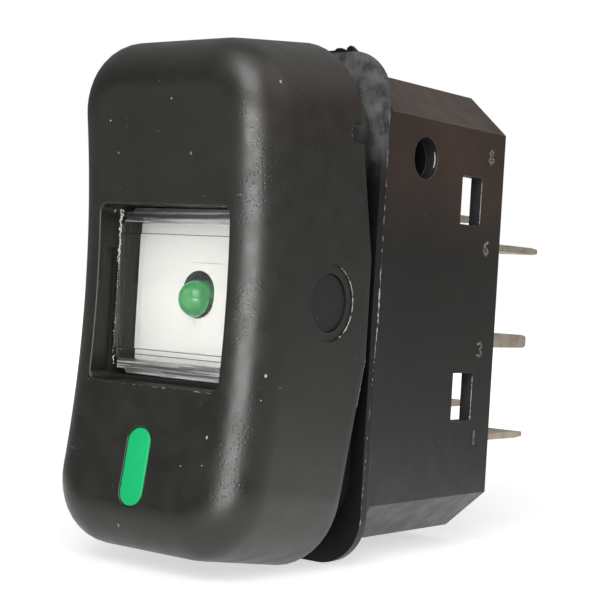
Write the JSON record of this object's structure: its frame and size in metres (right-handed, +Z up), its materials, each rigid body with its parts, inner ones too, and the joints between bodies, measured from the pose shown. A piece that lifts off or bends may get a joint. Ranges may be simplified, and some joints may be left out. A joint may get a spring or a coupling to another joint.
{
  "type": "rocker switch",
  "caption": "Rocker switch for a dashboard panel, with a lit window, a green indicator bar, an octagonal housing and push-on blades at the rear",
  "frame": {"origin": "Middle of the panel seat, the rear face of the housing rim", "axes": "+X to the side seen in the picture, +Y into the panel towards the blades, +Z up towards the window's upper edge"},
  "size_m": [0.0232, 0.0558, 0.0492],
  "materials": {
    "housing_plastic": "fine moulded grain, brownish black",
    "frame_plastic": "smooth, dark grey",
    "base_plastic": "smooth, black",
    "tinned_brass": "dull tin plating",
    "contact_silver": "silver plated, satin",
    "bridge_copper": "rolled strip, satin",
    "rocker_plastic": "satin, fine grain, charcoal",
    "clear_lens": "clear, polished",
    "green_lens": "translucent, satin",
    "white_plastic": "smooth, white",
    "plunger_plastic": "smooth, natural",
    "spring_steel": "drawn wire",
    "board": "laminated board",
    "lamp_epoxy": "tinted, polished",
    "lead_wire": "tinned wire",
    "resistor_body": "ceramic, coated"
  },
  "bodies": {
    "housing": {"housing": "housing_plastic", "bearing_frame": "frame_plastic", "terminal_base": "base_plastic", "upper_terminal_left": "tinned_brass", "common_terminal_left": "tinned_brass", "lower_terminal_left": "tinned_brass", "upper_terminal_right": "tinned_brass", "common_terminal_right": "tinned_brass", "lower_terminal_right": "tinned_brass", "lamp_terminal_upper": "tinned_brass", "lamp_terminal_lower": "tinned_brass", "fixed_contacts_left": "contact_silver", "fixed_contacts_right": "contact_silver", "lamp_board": "board", "symbol_lamp": "lamp_epoxy", "indicator_lamp": "lamp_epoxy", "lamp_leads": "lead_wire", "lamp_resistors": "resistor_body"},
    "rocker": {"rocker_cap": "rocker_plastic", "symbol_lens": "clear_lens", "indicator_bar": "green_lens", "plunger_carrier": "white_plastic", "plunger_spring_left": "spring_steel", "plunger_spring_right": "spring_steel"},
    "plunger_left": {"plunger_left": "plunger_plastic"},
    "bridge_left": {"contact_bridge_left": "bridge_copper", "moving_contacts_left": "contact_silver"},
    "plunger_right": {"plunger_right": "plunger_plastic"},
    "bridge_right": {"contact_bridge_right": "bridge_copper", "moving_contacts_right": "contact_silver"}
  },
  "joints": [
    {"name": "rocker_tilt", "type": "hinge", "parent": "housing", "child": "rocker", "pos_m": [0, -0.00815, 0.00035], "axis": [1, 0, 0], "range_deg": [-10, 10]},
    {"name": "bridge_left_rock", "type": "hinge", "parent": "housing", "child": "bridge_left", "pos_m": [-0.0055, 0.008, 0], "axis": [1, 0, 0], "range_deg": [-4.01, 4.01]},
    {"name": "plunger_left_slide", "type": "slide", "parent": "rocker", "child": "plunger_left", "axis": [0, -1, 0], "range_m": [0, 0.0008], "stiffness_N_per_m": 400, "springref_m": -0.0012, "deforming": ["plunger_spring_left"]},
    {"name": "bridge_right_rock", "type": "hinge", "parent": "housing", "child": "bridge_right", "pos_m": [0.0055, 0.008, 0], "axis": [1, 0, 0], "range_deg": [-4.01, 4.01]},
    {"name": "plunger_right_slide", "type": "slide", "parent": "rocker", "child": "plunger_right", "axis": [0, -1, 0], "range_m": [0, 0.0008], "stiffness_N_per_m": 400, "springref_m": -0.0012, "deforming": ["plunger_spring_right"]}
  ],
  "couplings": [
    {"joint": "bridge_left_rock", "follows": "rocker_tilt", "ratio": -0.4},
    {"joint": "bridge_right_rock", "follows": "rocker_tilt", "ratio": -0.4}
  ]
}
